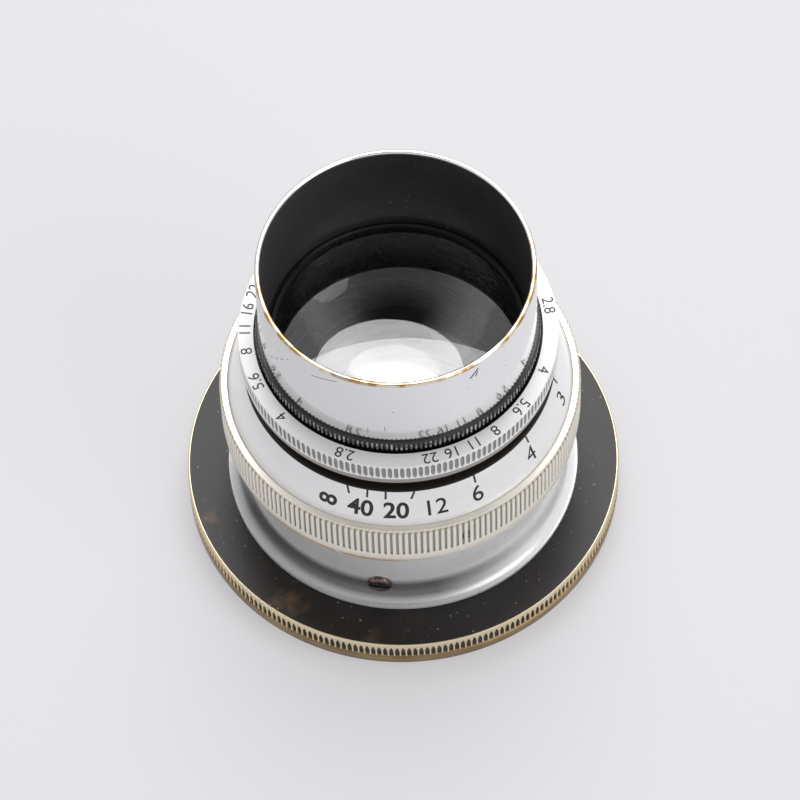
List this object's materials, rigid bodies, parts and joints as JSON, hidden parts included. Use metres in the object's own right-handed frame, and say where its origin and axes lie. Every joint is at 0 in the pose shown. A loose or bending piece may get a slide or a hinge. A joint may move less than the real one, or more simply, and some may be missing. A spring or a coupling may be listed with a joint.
{
  "type": "camera lens",
  "caption": "Focusing camera lens with a chrome hood tube, scalloped aperture ring, scaled focus cone with knurled grip, flared barrel and black knurled flange with a rear thread collar.",
  "frame": {"origin": "centre of the rear end of the thread collar, on the optical axis", "axes": "+Z along the optical axis towards the hood, -Y towards the infinity mark's side of the scale"},
  "size_m": [0.0728, 0.0728, 0.0675],
  "materials": {
    "bright_chrome": "polished",
    "satin_chrome": "satin",
    "knurled_chrome": "worn satin",
    "black_brass": "blackened",
    "brass": "bare",
    "dark_steel": "blued",
    "optical_glass": "polished"
  },
  "bodies": {
    "root": {"flange_ring": "black_brass", "base_barrel": "satin_chrome", "flange_lock_ring": "brass", "guide_rail": "brass", "guide_screw": "dark_steel", "retaining_ring": "brass", "stop_pin": "dark_steel"},
    "focus_ring": {"focus_grip": "knurled_chrome", "scale_ring": "satin_chrome", "grip_screws": "dark_steel"},
    "lens_head": {"head_barrel": "black_brass", "front_cell": "black_brass", "hood_tube": "bright_chrome", "hood_lock_ring": "black_brass", "front_glass_outer": "optical_glass", "front_glass_inner": "optical_glass", "front_retainer": "black_brass", "iris_base": "black_brass", "iris_screws": "dark_steel", "middle_cell": "black_brass", "middle_glass": "optical_glass", "middle_retainer": "black_brass", "rear_cell": "black_brass", "rear_glass_inner": "optical_glass", "rear_glass_outer": "optical_glass", "rear_retainer": "black_brass", "rear_lock_ring": "black_brass"},
    "aperture_control": {"aperture_ring": "satin_chrome", "drive_screw": "dark_steel", "drive_sleeve": "black_brass", "cam_ring": "black_brass"},
    "blade_01": {"iris_blade_01": "dark_steel"},
    "blade_02": {"iris_blade_02": "dark_steel"},
    "blade_03": {"iris_blade_03": "dark_steel"},
    "blade_04": {"iris_blade_04": "dark_steel"},
    "blade_05": {"iris_blade_05": "dark_steel"},
    "blade_06": {"iris_blade_06": "dark_steel"},
    "blade_07": {"iris_blade_07": "dark_steel"},
    "blade_08": {"iris_blade_08": "dark_steel"},
    "blade_09": {"iris_blade_09": "dark_steel"},
    "blade_10": {"iris_blade_10": "dark_steel"},
    "blade_11": {"iris_blade_11": "dark_steel"},
    "blade_12": {"iris_blade_12": "dark_steel"}
  },
  "joints": [
    {"name": "focus_turn", "type": "hinge", "parent": "root", "child": "focus_ring", "pos_m": [0, 0, 0.03], "axis": [0, 0, -1], "range_deg": [0, 98.06]},
    {"name": "head_slide", "type": "slide", "parent": "root", "child": "lens_head", "axis": [0, 0, 1], "range_m": [0, 0.01362]},
    {"name": "aperture_turn", "type": "hinge", "parent": "lens_head", "child": "aperture_control", "pos_m": [0, 0, 0.045], "axis": [0, 0, 1], "range_deg": [0, 84]},
    {"name": "blade_01_swing", "type": "hinge", "parent": "lens_head", "child": "blade_01", "pos_m": [0.02229, 0, 0.0255], "axis": [0, 0, 1], "range_deg": [0, 36.8]},
    {"name": "blade_02_swing", "type": "hinge", "parent": "lens_head", "child": "blade_02", "pos_m": [0.0193, 0.01115, 0.0255], "axis": [0, 0, 1], "range_deg": [0, 36.8]},
    {"name": "blade_03_swing", "type": "hinge", "parent": "lens_head", "child": "blade_03", "pos_m": [0.01115, 0.0193, 0.0255], "axis": [0, 0, 1], "range_deg": [0, 36.8]},
    {"name": "blade_04_swing", "type": "hinge", "parent": "lens_head", "child": "blade_04", "pos_m": [0, 0.02229, 0.0255], "axis": [0, 0, 1], "range_deg": [0, 36.8]},
    {"name": "blade_05_swing", "type": "hinge", "parent": "lens_head", "child": "blade_05", "pos_m": [-0.01115, 0.0193, 0.0255], "axis": [0, 0, 1], "range_deg": [0, 36.8]},
    {"name": "blade_06_swing", "type": "hinge", "parent": "lens_head", "child": "blade_06", "pos_m": [-0.0193, 0.01115, 0.0255], "axis": [0, 0, 1], "range_deg": [0, 36.8]},
    {"name": "blade_07_swing", "type": "hinge", "parent": "lens_head", "child": "blade_07", "pos_m": [-0.02229, 0, 0.0255], "axis": [0, 0, 1], "range_deg": [0, 36.8]},
    {"name": "blade_08_swing", "type": "hinge", "parent": "lens_head", "child": "blade_08", "pos_m": [-0.0193, -0.01115, 0.0255], "axis": [0, 0, 1], "range_deg": [0, 36.8]},
    {"name": "blade_09_swing", "type": "hinge", "parent": "lens_head", "child": "blade_09", "pos_m": [-0.01115, -0.0193, 0.0255], "axis": [0, 0, 1], "range_deg": [0, 36.8]},
    {"name": "blade_10_swing", "type": "hinge", "parent": "lens_head", "child": "blade_10", "pos_m": [0, -0.02229, 0.0255], "axis": [0, 0, 1], "range_deg": [0, 36.8]},
    {"name": "blade_11_swing", "type": "hinge", "parent": "lens_head", "child": "blade_11", "pos_m": [0.01115, -0.0193, 0.0255], "axis": [0, 0, 1], "range_deg": [0, 36.8]},
    {"name": "blade_12_swing", "type": "hinge", "parent": "lens_head", "child": "blade_12", "pos_m": [0.0193, -0.01115, 0.0255], "axis": [0, 0, 1], "range_deg": [0, 36.8]}
  ],
  "couplings": [
    {"joint": "focus_turn", "follows": "head_slide", "rad_per_m": 125.66},
    {"joint": "blade_01_swing", "follows": "aperture_turn", "ratio": 0.4381},
    {"joint": "blade_02_swing", "follows": "aperture_turn", "ratio": 0.4381},
    {"joint": "blade_03_swing", "follows": "aperture_turn", "ratio": 0.4381},
    {"joint": "blade_04_swing", "follows": "aperture_turn", "ratio": 0.4381},
    {"joint": "blade_05_swing", "follows": "aperture_turn", "ratio": 0.4381},
    {"joint": "blade_06_swing", "follows": "aperture_turn", "ratio": 0.4381},
    {"joint": "blade_07_swing", "follows": "aperture_turn", "ratio": 0.4381},
    {"joint": "blade_08_swing", "follows": "aperture_turn", "ratio": 0.4381},
    {"joint": "blade_09_swing", "follows": "aperture_turn", "ratio": 0.4381},
    {"joint": "blade_10_swing", "follows": "aperture_turn", "ratio": 0.4381},
    {"joint": "blade_11_swing", "follows": "aperture_turn", "ratio": 0.4381},
    {"joint": "blade_12_swing", "follows": "aperture_turn", "ratio": 0.4381}
  ]
}
